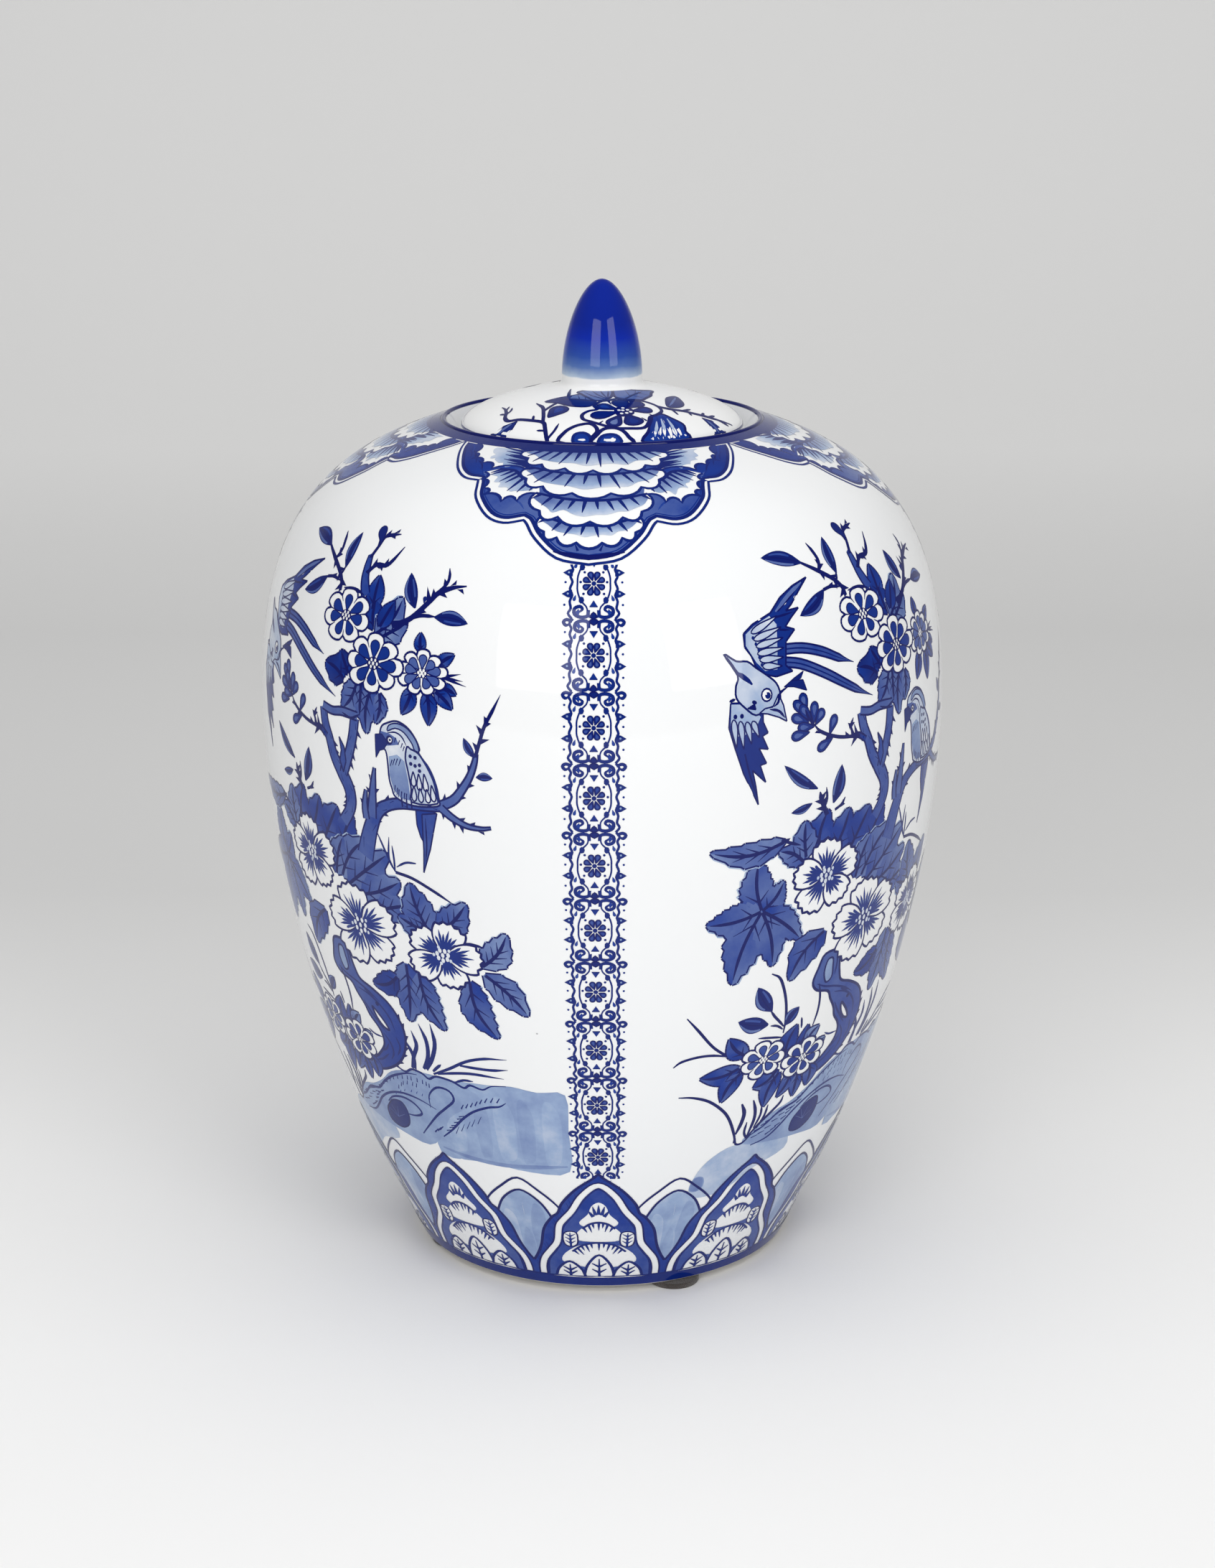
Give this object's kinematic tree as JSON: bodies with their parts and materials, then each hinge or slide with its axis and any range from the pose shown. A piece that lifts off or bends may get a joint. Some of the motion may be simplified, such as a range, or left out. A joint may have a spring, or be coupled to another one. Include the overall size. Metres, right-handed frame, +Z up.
{
  "type": "ginger jar",
  "caption": "Round-shouldered porcelain ginger jar with a recessed domed lid and bullet finial, standing on felt pads under its foot ring.",
  "frame": {"origin": "on the jar's axis, on the surface that the felt pads stand on", "axes": "+Z up along the jar's axis towards the finial, -Y towards the front, +X to the right"},
  "size_m": [0.212, 0.212, 0.3063],
  "materials": {
    "jar_glaze": "clear high-gloss glaze over cobalt brushwork on white porcelain",
    "lid_glaze": "clear high-gloss glaze over cobalt brushwork on white porcelain",
    "felt": "dense matt felt"
  },
  "bodies": {
    "jar": {"jar_body": "jar_glaze", "felt_pad_1": "felt", "felt_pad_2": "felt", "felt_pad_3": "felt", "felt_pad_4": "felt"},
    "lid": {"lid": "lid_glaze"}
  },
  "joints": [
    {"name": "lid_lift", "type": "slide", "parent": "jar", "child": "lid", "axis": [0, 0, 1], "range_m": [0, 0.12]}
  ]
}
